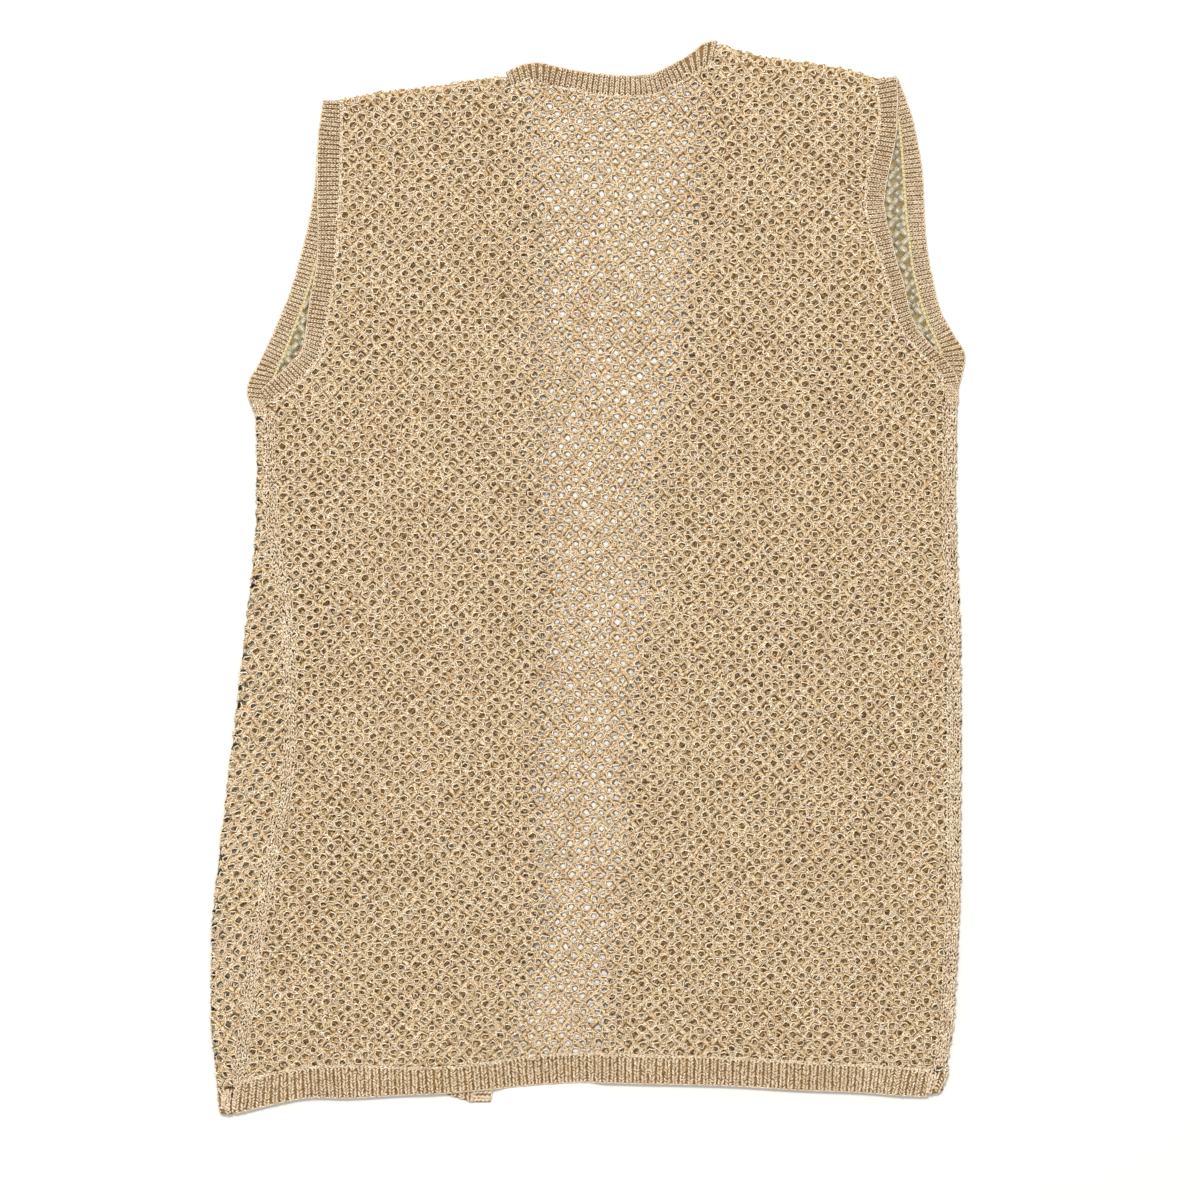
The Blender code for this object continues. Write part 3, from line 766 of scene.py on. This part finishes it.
@dataclass
class RolledCloth:
    """Cloth that lies on the table, wrong side up, and rolls up round the side fold.

    Args:
        node: the cloth's node.
        side: the side of the garment that it is on.
        cover: what lies on the cloth, if that is asked for.
    """

    node: str
    side: Side
    cover: Solid | None = None
    solid: Solid = field(init=False)

    ROW = 1.0 * MM      # between two readings of the side fold's place

    def __post_init__(self) -> None:
        """Read the cloth's solid and the line of its side fold."""
        self.solid = Solid(self.node)
        self.low, self.high = self.solid.points.min(0), self.solid.points.max(0)
        self.radius = self.high[2] / 2      # of the fold's outer face
        self.rows = np.arange(self.low[1], self.high[1], self.ROW)
        found = [(self.solid.side_x(self.side, y, self.radius), y) for y in self.rows]
        read = np.array([(x * self.side.value, y) for x, y in found if x is not None])
        self.folds = np.interp(self.rows, read[:, 1], read[:, 0])
        self.underarm = float(read[:, 1].max())     # the rolled cloth's upper end

    def fold(self, y: float) -> float:
        """How far out the side fold reaches at a height, or would past its ends."""
        near = int(np.clip(round((y - self.rows[0]) / self.ROW), 0, len(self.rows) - 1))
        return float(self.folds[near])

    def lay(self, x: float, y: float, lift: float) -> tuple[Points, Points]:
        """Roll a flat place of the cloth round its side fold.

        Args:
            x: place across on the unrolled cloth.
            y: place along.
            lift: distance over the cloth's middle, to its right side.

        Returns:
            The point, and the way out of the cloth's right side.
        """
        out, middle = self.side.value, self.radius - WALL / 2
        roll = self.fold(y) - self.radius
        past = out * x - roll
        if past <= 0:
            return np.array([x, y, WALL / 2 - lift]), np.array([0.0, 0.0, -1.0])
        turn = min(past / middle, pi)
        beyond = max(0.0, past - pi * middle)
        reach = (middle + lift) * sin(turn) - beyond
        point = np.array([out * (roll + reach), y, self.radius - (middle + lift) * cos(turn)])
        return point, np.array([out * sin(turn), 0.0, -cos(turn)])

    def holds(self, x: float, y: float) -> bool:
        """Whether a place on the unrolled cloth is inside its edges."""
        return self.solid.holds(self.lay(x, y, 0.0)[0])

    def lie(self, x: float, y: float) -> Lie:
        """How the cloth lies at a place: past the turn of the fold its right side is up."""
        if self.lay(x, y, 0.0)[1][2] > 0:
            return Lie.SHOWN
        covered = self.cover is not None and self.cover.top(x, y) is not None
        return Lie.UNDER if covered else Lie.BARE

    def rolled(self) -> float:
        """Width of the widest part that is rolled up round the fold."""
        upper = self.solid.points[self.solid.points[:, 2] > self.radius]
        return max(self.fold(y) - self.side.value * x for x, y, _ in upper)

    def unrolled(self) -> float:
        """How far out the cloth would reach if its fold were laid flat."""
        around = pi * (self.radius - WALL / 2)
        return float(self.folds.max()) + around + self.rolled() - 2 * self.radius

    def span(self, x: float, guess: float, end: int) -> float | None:
        """The y of one end of the cloth at an unrolled place across.

        Args:
            x: place across on the unrolled cloth.
            guess: a y inside the cloth.
            end: 0 for the lower end and 1 for the upper.

        Returns:
            The end's y, or None where the cloth doesn't reach.
        """
        y = guess
        for _ in range(3):
            point, _ = self.lay(x, y, 0.0)
            found = self.solid.span_y(point[0], point[2])
            if found is None:
                return None
            y = found[end]
        return y


@dataclass
class Front:
    """One front: a net that lies on the table, wrong side up, and rolls up round the side fold.

    Args:
        side: the side of the garment that it is on.
        net: its knitting.
    """

    side: Side
    net: NetKnit = field(
        default_factory=lambda: NetKnit(core=(3.5 * MM, 0.7 * MM), seed=SEED + 1, shift=0.5)
    )

    WEB = 0.4 * MM      # thickness of the fine inner web that the strands lie on
    RAISED = 0.3 * MM   # of the web over the wall's middle, to the cloth's wrong side
    SLACK = 30 * MM     # how much wider than its outline the unrolled cloth may be

    def build(self) -> None:
        """Knit the front, whose inner web takes the place of its hidden solid."""
        cloth = RolledCloth(f"front_panel_{self.side.word}", self.side, Solid("back_panel"))
        cores = {lie: Bundle(f"front_net_core_{self.side.word}_{lie.name.lower()}") for lie in Lie}
        loops = Bundle(f"front_net_loops_{self.side.word}")
        around = np.array([self.SLACK, 0.0])
        self.net.knit(cloth, cloth.low[:2] - around, cloth.high[:2] + around, cores, [loops])
        # the web's dull olive brown is painted shade, seen through the net's holes
        web = cloth.solid.web(f"front_web_{self.side.word}", self.WEB, self.RAISED, INNER_WEB_SHADE)
        strands = [core.make(CORE_FINISHES[lie]) for lie, core in cores.items()]
        strands.append(loops.make(NET_YARN))
        for piece in (web, *strands):
            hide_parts(cloth.solid.name)
        width, length, _ = cloth.high - cloth.low
        flat = (float(width + cloth.rolled()), float(length))
        cloth.solid.cloth_area()


# ---- ribs and seams ----
@dataclass(frozen=True)
class Stitch:
    """A knit stitch: two legs that meet at its foot and open to a V.

    Args:
        pitch: from one stitch to the next, along the wale.
        yarn: width and height of the yarn.
        proud: how far the legs stand over the ground at their middle.
        loose: standard deviation of a leg's points from their places.
    """

    pitch: float
    yarn: tuple[float, float]
    proud: float = 0.35 * MM
    loose: float = 0.1 * MM

    # a leg's shares of the pitch along the wale, of half the wale's width, and of the lift
    LEG = ((-0.4, 0.15, -0.8), (0.1, 0.6, 1.0), (0.6, 1.0, -0.4))

    def lay(self, bundle: Bundle, feet: Points, up_wale: Points, normals: Points, width: float) -> None:
        """Lay a stitch at each foot.

        Args:
            bundle: where the stitches are gathered.
            feet: the stitches' feet, on the ground.
            up_wale: the way from each stitch to the next.
            normals: the way out of the cloth there.
            width: of the wale.
        """
        across = unit(np.cross(up_wale, normals))
        reach = (width - self.yarn[0]) / 2
        legs = []
        for leg in (-1, 1):
            for rise, out, lift in self.LEG:
                place = feet + up_wale * (rise * self.pitch) + across * (leg * out * reach)
                legs.append(place + normals * (lift * self.proud))
        paths = np.array(legs).reshape(2, len(self.LEG), -1, 3).transpose(0, 2, 1, 3)
        paths = paths.reshape(-1, len(self.LEG), 3)
        paths = paths + bundle.rng.normal(0.0, self.loose, paths.shape)
        upright = np.repeat(np.concatenate([normals, normals])[:, None], len(self.LEG), axis=1)
        bundle.lay(paths, upright, *self.yarn)

    def work(self, bundle: Bundle, line: Points, width: float, face: Face = Face.OVER) -> None:
        """Work a wale along a line.

        Args:
            bundle: where the stitches are gathered.
            line: points of the wale's middle, on the ground.
            width: of the wale.
            face: of the cloth that carries it.
        """
        feet, up_wale = walk(line, self.pitch)
        self.lay(bundle, feet, up_wale, np.tile([0.0, 0.0, face.value], (len(feet), 1)), width)


def lengths_along(line: Points) -> np.ndarray:
    """Distance of each of a line's points from its start, along the line."""
    return np.concatenate([[0.0], np.cumsum(np.linalg.norm(np.diff(line, axis=0), axis=1))])


def points_at(line: Points, at: np.ndarray) -> Points:
    """The points of a line at some distances from its start."""
    length = lengths_along(line)
    return np.column_stack([np.interp(at, length, axis) for axis in line.T])


def walk(line: Points, pitch: float) -> tuple[Points, Points]:
    """Evenly spaced places along a line.

    Args:
        line: points of the line.
        pitch: about how far apart the places are.

    Returns:
        The places, and the way along the line at each.
    """
    length = lengths_along(line)[-1]
    count = max(1, round(length / pitch))
    at = (np.arange(count) + 0.5) * length / count
    return points_at(line, at), unit(points_at(line, at + pitch / 2) - points_at(line, at - pitch / 2))


def at_share(line: Points, shares: np.ndarray) -> Points:
    """The points of a line at some shares of its length."""
    return points_at(line, shares * lengths_along(line)[-1])


def nearest_share(line: Points, point: Points) -> float:
    """The share of a line's length at which it is nearest to a point."""
    start, step, length = line[:-1], np.diff(line, axis=0), lengths_along(line)
    share = ((point - start) * step).sum(1) / np.maximum((step * step).sum(1), 1e-18)
    feet = start + step * np.clip(share, 0.0, 1.0)[:, None]
    nearest = np.argmin(np.linalg.norm(feet - point, axis=1))
    return float((length[nearest] + np.linalg.norm(feet[nearest] - start[nearest])) / length[-1])


@dataclass
class BandEdges:
    """The sewn and the free edge of a band in plan, read from its solid.

    Args:
        solid: the band's solid.
        panel: the solid that the band is sewn to.
    """

    solid: Solid
    panel: Solid
    seam: Points = field(init=False)
    free: Points = field(init=False)

    SLANTED = 0.15      # share of the band's length over which its sections turn to its end
    WINDOWS = 6         # how many windows of evening out the band's length has
    DOWN = -0.5         # most rise of the way out of a face that looks down
    INWARD = 0.04       # share of the band's width from an edge at which its level is read

    def __post_init__(self) -> None:
        """Part the outline of the band's underside at its four corners."""
        ring = self.outline()
        points = self.solid.points[ring, :2]
        before, after = points - np.roll(points, 1, axis=0), np.roll(points, -1, axis=0) - points
        turn = (unit(before) * unit(after)).sum(1)
        first, second, third, fourth = np.sort(np.argsort(turn)[:4])
        ring = np.concatenate([ring[first:], ring[: first + 1]])
        cuts = [0, second - first, third - first, fourth - first, len(ring) - 1]
        sides = [self.solid.points[ring[i : j + 1]] for i, j in zip(cuts[:-1], cuts[1:], strict=True)]
        reach = [lengths_along(side)[-1] for side in sides]
        skip = 0 if reach[0] + reach[2] > reach[1] + reach[3] else 1
        one, other = sides[skip], sides[skip + 2][::-1]
        if self.panel.distance(one) > self.panel.distance(other):
            one, other = other, one
        self.seam, self.free = one[:, :2], other[:, :2]

    def outline(self) -> np.ndarray:
        """Walk round the faces that look down.

        Returns:
            The numbers of the points on their outline, in order.
        """
        down = self.solid.triangles[unit(self.solid.facing())[:, 2] < self.DOWN]
        edges = {(int(t[i]), int(t[(i + 1) % 3])) for t in down for i in range(3)}
        after = {i: j for i, j in edges if (j, i) not in edges}
        ring = [min(after)]
        while after[ring[-1]] != ring[0]:
            ring.append(after[ring[-1]])
        return np.array(ring)

    def sections(self, count: int) -> tuple[Points, Points]:
        """Evenly spaced sections of the band.

        Args:
            count: how many there are, with one at each end.

        Returns:
            Their ends on the seam and on the free edge, on the band's underside.
        """
        at = np.linspace(0.0, 1.0, count)
        seam = at_share(self.seam, at)
        # how far the free edge is ahead of the seam, evened out and none at the band's ends
        lead = np.array([nearest_share(self.free, point) for point in seam]) - at
        window = count // self.WINDOWS
        lead = np.convolve(lead, np.full(window, 1 / window), mode="same")
        near_end = np.clip(np.minimum(at, 1 - at) / self.SLANTED, 0.0, 1.0)
        free = at_share(self.free, at + lead * near_end * near_end * (3 - 2 * near_end))
        inward = self.INWARD * (free - seam)
        levels = [
            [self.solid.under(*place) or 0.0 for place in (edge + step).tolist()]
            for edge, step in ((seam, inward), (free, -inward))
        ]
        return np.column_stack([seam, levels[0]]), np.column_stack([free, levels[1]])


def loft(name: str, sections: Points, finish: Finish) -> bpy.types.Object:
    """A closed smooth body through sections of equally many points.

    Args:
        name: the new piece's name.
        sections: sections x points x 3.
        finish: its material's maker.

    Returns:
        The piece, with its faces outwards.
    """
    count, around = sections.shape[:2]
    index = np.arange(count * around).reshape(count, around)
    beside = np.roll(index, -1, axis=1)
    wall = np.stack([index[:-1], index[1:], beside[1:], beside[:-1]], axis=-1).reshape(-1, 4)
    faces = [*wall.tolist(), index[0].tolist(), index[-1, ::-1].tolist()]
    middle, ahead = sections.mean(1), np.diff(sections.mean(1), axis=0)
    arms = sections - middle[:, None]
    area = np.cross(arms, np.roll(arms, -1, axis=1)).sum(1)
    if (area[:-1] * ahead).sum() > 0:
        faces = [face[::-1] for face in faces]
    mesh = bpy.data.meshes.new(name)
    mesh.from_pydata(sections.reshape(-1, 3).tolist(), [], faces)
    return dress(name, mesh, finish)


@dataclass
class RibBand:
    """A 1x1 rib-knit band sewn to a panel: a ground with a wale of stitches on each rib.

    Args:
        node: the band's node.
        panel: the node of the panel that it is sewn to.
        stitch: its knit stitch.
        ribs: how many ribs it has.
        worked: the faces that carry wales.
        picked_up: whether a row of stitches joins it to its panel.
    """

    node: str
    panel: str
    stitch: Stitch
    ribs: int
    worked: tuple[Face, ...] = (Face.OVER,)
    picked_up: bool = True

    RELIEF = 0.6 * MM   # how deep the furrows between the ribs are
    INSET = 0.75 * MM   # how far the ground lies under the stitches' crowns
    PLAIN = 0.05 * MM   # the same on a face without stitches
    THINNEST = 0.2 * MM     # of the ground
    FULL = 0.92         # share of a rib that its wale covers
    EDGE = (0.9 * MM, 0.8 * MM)     # width and height of the yarn that binds the free edge
    EDGE_LEVEL = 0.7 * MM           # of its middle over the band's underside
    # shares of the way from the seam to the free edge, with how far the ground is thinned there
    PROFILE = ((-0.03, 0.1 * MM), (0.33, 0.0), (0.67, 0.0), (0.93, 0.1 * MM), (0.99, 0.3 * MM))

    def __post_init__(self) -> None:
        """Read the band's edges, at each furrow and crest in turn."""
        edges = BandEdges(Solid(self.node), Solid(self.panel))
        self.seam, self.free = edges.sections(2 * self.ribs + 1)

    def inset(self, face: Face) -> float:
        """How far the ground's crests lie under a face of the solid."""
        return self.INSET if face in self.worked else self.PLAIN

    def ground(self) -> bpy.types.Object:
        """The cloth under the stitches, lofted through the furrows and crests."""
        furrow = np.where(np.arange(len(self.seam)) % 2 == 0, self.RELIEF, 0.0)
        under, over = [], []
        for share, thinned in self.PROFILE:
            place = (1 - share) * self.seam + share * self.free
            rise = thinned + self.inset(Face.UNDER) + furrow
            sink = thinned + self.inset(Face.OVER) + furrow
            rise = np.minimum(rise, WALL - sink - self.THINNEST)
            under.append(place + UP * rise[:, None])
            over.append(place + UP * (WALL - sink)[:, None])
        # the ground's dark finish is painted shade of the furrows
        return loft(f"{self.node}_ground", np.stack(under + over[::-1], axis=1), RIB_GROUND_SHADE)

    def stitches(self) -> bpy.types.Object:
        """The wales on the crests, the row that joins the band to its panel and its bound edge."""
        bundle = Bundle(f"{self.node}_stitches", (self.ribs, len(self.node)))
        pitch = lengths_along((self.free + self.seam) / 2)[-1] / self.ribs
        for face in self.worked:
            depth = self.inset(face)
            level = UP * (WALL - depth if face is Face.OVER else depth)
            for ends in zip(self.free[1::2], self.seam[1::2], strict=True):
                self.stitch.work(bundle, ends + level, self.FULL * pitch, face)
            if self.picked_up:
                away = unit((self.free - self.seam) * PLAN)
                row = self.seam - away * PICK_UP.yarn[0] + level
                PICK_UP.work(bundle, row, PICK_UP_WIDTH, face)
        edge = self.free + UP * self.EDGE_LEVEL
        bundle.lay(edge[None], np.tile(UP, (1, len(edge), 1)), *self.EDGE)
        return bundle.make(RIB_YARN)

    def cut(self) -> tuple[tuple[float, float], float]:
        """Flat width and length, and the area, of the band's cloth."""
        across, middle = self.free - self.seam, (self.free + self.seam) / 2
        along = np.diff(middle, axis=0)
        between = (across[1:] + across[:-1]) / 2
        area = np.abs(between[:, 0] * along[:, 1] - between[:, 1] * along[:, 0]).sum()
        width = max(NARROWEST, np.linalg.norm(across, axis=1).max())
        return (float(width), float(lengths_along(middle)[-1])), float(area)

    def build(self) -> None:
        """Knit the band, whose ground takes the place of its hidden solid."""
        ground, stitches = self.ground(), self.stitches()
        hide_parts(self.node)
        flat, area = self.cut()


@dataclass
class SidePiece:
    """A knitted or sewn piece that each side of the garment has.

    Args:
        side: the side of the garment that it is on.
        stitch: its stitch.
    """

    side: Side
    stitch: Stitch

    def begin(self, name: str, number: int) -> Bundle:
        """Start a gathering with an unevenness of its own, which a number sets."""
        return Bundle(name, (self.side.value + number,))


@dataclass
class FrontHem(SidePiece):
    """The hem of one front: a 1x1 rib, right side down, that rolls up with it at the side fold.

    Args:
        rib: from one rib to the next.
    """

    rib: float = 4.9 * MM

    RELIEF = 0.55 * MM  # how deep the furrows between the ribs are
    INSET = 0.55 * MM   # how far the ground lies under the cloth's faces
    COLUMNS = 4         # of the ground to one rib
    ROWS = 4            # of the ground's points to one column
    SHOWN = 8           # ribs at the front edge whose wrong side shows from above
    SHORTEST = 4 * MM   # of a column that is still made

    def build(self) -> None:
        """Knit the hem, whose ground takes the place of its hidden solid."""
        cloth = RolledCloth(f"hem_front_{self.side.word}", self.side)
        bundle = self.begin(f"hem_front_{self.side.word}_stitches", 1)
        step = self.rib / self.COLUMNS
        out, outermost = self.side.value, cloth.unrolled()
        front_edge = min(abs(cloth.low[0]), abs(cloth.high[0]))
        guess = (cloth.low[1] + cloth.high[1]) / 2
        sections = []
        for column in range(int((outermost - front_edge) / step)):
            x = out * (outermost - (column + 0.5) * step)
            ends = [cloth.span(x, guess, end) for end in (0, 1)]
            if None in ends or ends[1] - ends[0] < self.SHORTEST:
                continue
            furrow = self.RELIEF * (1 + cos(2 * pi * (column + 0.5) / self.COLUMNS)) / 2
            depth = WALL / 2 - self.INSET
            rows = np.linspace(*ends, self.ROWS)
            right = [cloth.lay(x, y, depth - furrow)[0] for y in rows]
            wrong = [cloth.lay(x, y, furrow - depth)[0] for y in rows[::-1]]
            sections.append(right + wrong)
            if column % self.COLUMNS != self.COLUMNS // 2:
                continue
            faces = (1, -1) if abs(x) - front_edge < self.SHOWN * self.rib else (1,)    # right, wrong
            feet = walk(np.array([[x, ends[0]], [x, ends[1]]]), self.stitch.pitch)[0]
            for face in faces:
                spots = [cloth.lay(x, y, face * depth) for y in feet[:, 1]]
                places, normals = (np.array(part) for part in zip(*spots, strict=True))
                upward = np.tile([0.0, 1.0, 0.0], (len(feet), 1))
                self.stitch.lay(bundle, places, upward, face * normals, RibBand.FULL * self.rib)
        # the ground's dark finish is painted shade of the furrows
        ground = loft(f"hem_front_{self.side.word}_ground", np.array(sections), RIB_GROUND_SHADE)
        stitches = bundle.make(RIB_YARN)
        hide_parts(cloth.node)
        width, height = len(sections) * step, float(np.ptp(np.array(sections)[:, :, 1], axis=1).mean())
        max(height, NARROWEST)


@dataclass
class SideSeam(SidePiece):
    """The dense strip along a side seam: wales of stitches with no holes.

    Args:
        name: the piece's name, without its side.
        wales: place of each wale, outwards from the seam.
        slot: not used.
    """

    name: str
    wales: dict[Side, tuple[float, ...]]
    slot: str

    ROW = 3.0 * MM      # between two readings of the seam's place
    DROP = 0.3 * MM     # how deep the stitches' feet sit in the cloth
    WIDTH = 3.3 * MM    # of a wale

    def build(self, back_node: str, front_node: str) -> None:
        """Sew the seam.

        Args:
            back_node: the node on the back's side of the seam.
            front_node: the node on the front's side.
        """
        back, front = Solid(back_node), Solid(front_node)
        bundle = self.begin(f"{self.name}_{self.side.word}", 3)
        level = back.points[:, 2].min() + front.points[:, 2].max() - WALL / 2
        ys = np.arange(front.points[:, 1].min(), front.points[:, 1].max(), self.ROW)
        rows = [(back.side_x(self.side, y, level), y) for y in ys]
        rows = [(x, y) for x, y in rows if x is not None and front.side_x(self.side, y, level)]
        for wale in self.wales[self.side]:
            line = []
            for x, y in rows:
                place = x + self.side.value * wale
                tops = [top for solid in (back, front) if (top := solid.top(place, y)) is not None]
                if tops:
                    line.append((place, y, max(tops) - self.DROP))
            self.stitch.work(bundle, np.array(line), self.WIDTH)
        bundle.make(RIB_YARN)


@dataclass
class UnderarmJoin(SidePiece):
    """The close-knit corner between a side seam and the ends of the armhole bands."""

    WALES = 5
    WIDTH = 2.3 * MM        # of a wale
    LAP = 2.2 * MM          # how far its stitches run over their neighbours
    DEPTH = 8.0 * MM        # from the fold inwards, along the top of the rolled cloth
    LEVELS = (3.9 * MM, 2.7 * MM)   # of the filling's top, at the seam and at the bands
    # a section, as shares of its half width outwards and of its top's level
    RING = ((1.0, 0.3), (1.05, 0.6), (0.8, 1.0), (-0.8, 1.0), (-1.0, 0.6), (-1.0, 0.1), (0.9, 0.1))

    def build(self) -> None:
        """Knit the corner: its filling and its stitches."""
        word, out = self.side.word, self.side.value
        cloth = RolledCloth(f"front_panel_{word}", self.side)
        band = BandEdges(Solid(f"armhole_band_front_{word}"), cloth.solid)
        end = 0 if band.seam[0, 1] < band.seam[-1, 1] else -1
        top = cloth.underarm
        fold = cloth.fold(top)
        lower = np.array([[out * fold, top], [out * (fold - self.DEPTH), top]])
        upper = np.array([band.free[end], band.seam[end]])
        sections = []
        for share in (0.0, 0.5, 1.0):
            edge = (1 - share) * lower + share * upper
            level = (1 - share) * self.LEVELS[0] + share * self.LEVELS[1]
            middle = edge.mean(axis=0)
            outward = edge[0] - middle
            sections.append([[*(middle + outward * reach), height * level] for reach, height in self.RING])
        # the filling's dark finish is painted shade between the stitches
        filling = loft(f"underarm_join_{word}_filling", np.array(sections), RIB_GROUND_SHADE)
        bundle = self.begin(f"underarm_join_{word}_stitches", 5)
        for number in range(self.WALES):
            share = (number + 0.5) / self.WALES
            low, high = (edge[0] * (1 - share) + edge[1] * share for edge in (lower, upper))
            way = unit(high - low) * self.LAP
            line = np.array([[*(low - way), self.LEVELS[0]], [*(high + way), self.LEVELS[1]]])
            self.stitch.work(bundle, line, self.WIDTH)
        for piece in (filling, bundle.make(RIB_YARN)):
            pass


@dataclass
class LinkingChain(SidePiece):
    """The chain of plain thread that links an armhole band to the inside of a front."""

    INWARD = 0.9 * MM   # from the seam to the chain's middle
    WIDTH = 2.4 * MM    # of the chain
    SECTIONS = 60       # of the band at which the seam's place is read

    def build(self) -> None:
        """Sew the chain along the seam's inner side."""
        front = Solid(f"front_panel_{self.side.word}")
        edges = BandEdges(Solid(f"armhole_band_front_{self.side.word}"), front)
        seam, free = edges.sections(self.SECTIONS)
        away = unit((free - seam) * PLAN)
        line = seam - away * self.INWARD + UP * (WALL - self.stitch.yarn[1] / 2)
        bundle = self.begin(f"linking_chain_{self.side.word}", 7)
        self.stitch.work(bundle, line, self.WIDTH)
        bundle.make(LINKING_THREAD)


# stitches of the bands and seams, from the ribs' pitch and the rows in the photograph
HEM_STITCH = Stitch(pitch=1.75 * MM, yarn=(1.15 * MM, 0.95 * MM), proud=0.5 * MM, loose=0.22 * MM)
NECK_STITCH = Stitch(pitch=1.7 * MM, yarn=(0.9 * MM, 0.8 * MM), proud=0.5 * MM, loose=0.14 * MM)
ARMHOLE_STITCH = Stitch(pitch=1.75 * MM, yarn=(0.8 * MM, 0.75 * MM), proud=0.5 * MM, loose=0.14 * MM)
FRONT_STITCH = Stitch(pitch=2.8 * MM, yarn=(1.5 * MM, 0.9 * MM))
SEAM_STITCH = Stitch(pitch=2.5 * MM, yarn=(1.0 * MM, 0.9 * MM), proud=0.5 * MM, loose=0.34 * MM)
CHAIN_STITCH = Stitch(pitch=2.6 * MM, yarn=(1.3 * MM, 0.8 * MM), proud=0.1 * MM, loose=0.05 * MM)
PICK_UP = Stitch(pitch=2.4 * MM, yarn=(1.1 * MM, 0.85 * MM), proud=0.3 * MM, loose=0.22 * MM)
PICK_UP_WIDTH = 2.6 * MM
NARROWEST = 10.1 * MM   # least width given for a band's flat cloth, which the narrowest band is a little under
HEM_RIBS = 91
NECK_RIBS = 38
FRONT_RIBS = 133
ARMHOLE_RIBS = {Side.LEFT: 72, Side.RIGHT: 70}
SEAM_WALES = {
    Side.LEFT: (-4.8 * MM, -2.0 * MM, 0.8 * MM),
    Side.RIGHT: (0.5 * MM, 3.3 * MM, 6.1 * MM),
}
HEM_SEAM_WALES = {Side.LEFT: (-0.9 * MM, 2.6 * MM, 5.6 * MM), Side.RIGHT: (-0.9 * MM, 2.6 * MM)}


@dataclass
class Studio:
    """A white table, a soft light from over the neck and the camera that looks straight down.

    Args:
        centre: the spot under the camera.
        across: width of the table that the picture takes in.
        height: of the camera.
    """

    centre: tuple[float, float] = (7.6 * MM, -13.7 * MM)
    across: float = 0.732
    height: float = 2.4

    SENSOR = 36.0       # millimetres
    SOFTBOX = ((-0.6, 2.1, 4.0), 0.8, 150.0)    # its place, the size of its side and its watts
    AMBIENT = 0.76      # strength of the pale walls' light

    def build(self) -> None:
        """Set up the floor, the light, the surroundings and the camera."""
        bpy.ops.object.select_all(action="DESELECT")
        bpy.ops.mesh.primitive_plane_add(size=6.0, location=(0.0, 0.0, -0.1 * MM))
        floor = bpy.context.object
        floor.name = "table_top"
        bpy.ops.object.transform_apply(location=True)
        floor.data.materials.append(StageFloor().material())
        place, size, power = self.SOFTBOX
        light = bpy.data.lights.new("key_softbox", "AREA")
        light.size, light.energy = size, power
        lamp = bpy.data.objects.new("key_softbox", light)
        lamp.location = place
        lamp.rotation_euler = (-Vector(place)).to_track_quat("-Z", "Y").to_euler()
        scene = bpy.context.scene
        scene.world = world = bpy.data.worlds.new("studio_walls")
        world.use_nodes = True
        walls = world.node_tree.nodes["Background"]
        walls.inputs["Color"].default_value = linear("#FFFDF9")
        walls.inputs["Strength"].default_value = self.AMBIENT
        scene.view_settings.view_transform = "Standard"
        camera = bpy.data.objects.new("camera", bpy.data.cameras.new("camera"))
        camera.data.sensor_width = self.SENSOR
        camera.data.lens = self.SENSOR * self.height / self.across
        camera.location = (*self.centre, self.height)
        for thing in (lamp, camera):
            scene.collection.objects.link(thing)
        scene.camera = camera


def main() -> None:
    """Knit the garment piece by piece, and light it."""
    logging.basicConfig(level=logging.INFO, format="%(name)s: %(message)s")
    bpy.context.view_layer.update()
    Studio().build()
    Back().build()
    for side in Side:
        Front(side).build()
    RibBand("hem_back", "back_panel", HEM_STITCH, HEM_RIBS).build()
    RibBand("neckband_back", "back_panel", NECK_STITCH, NECK_RIBS).build()
    both = (Face.OVER, Face.UNDER)
    for side in Side:
        word, front, ribs = side.word, f"front_panel_{side.word}", ARMHOLE_RIBS[side]
        RibBand(f"armhole_band_back_{word}", "back_panel", ARMHOLE_STITCH, ribs).build()
        RibBand(f"armhole_band_front_{word}", front, ARMHOLE_STITCH, ribs, both, picked_up=False).build()
        RibBand(f"front_band_{word}", front, FRONT_STITCH, FRONT_RIBS, both).build()
        FrontHem(side, HEM_STITCH).build()
        SideSeam(side, SEAM_STITCH, "side_seam", SEAM_WALES, "net_knit").build("back_panel", front)
        hem_seam = SideSeam(side, HEM_STITCH, "hem_seam", HEM_SEAM_WALES, "rib_knit")
        hem_seam.build("hem_back", f"hem_front_{word}")
        UnderarmJoin(side, ARMHOLE_STITCH).build()
        LinkingChain(side, CHAIN_STITCH).build()


if __name__ == "__main__":
    main()
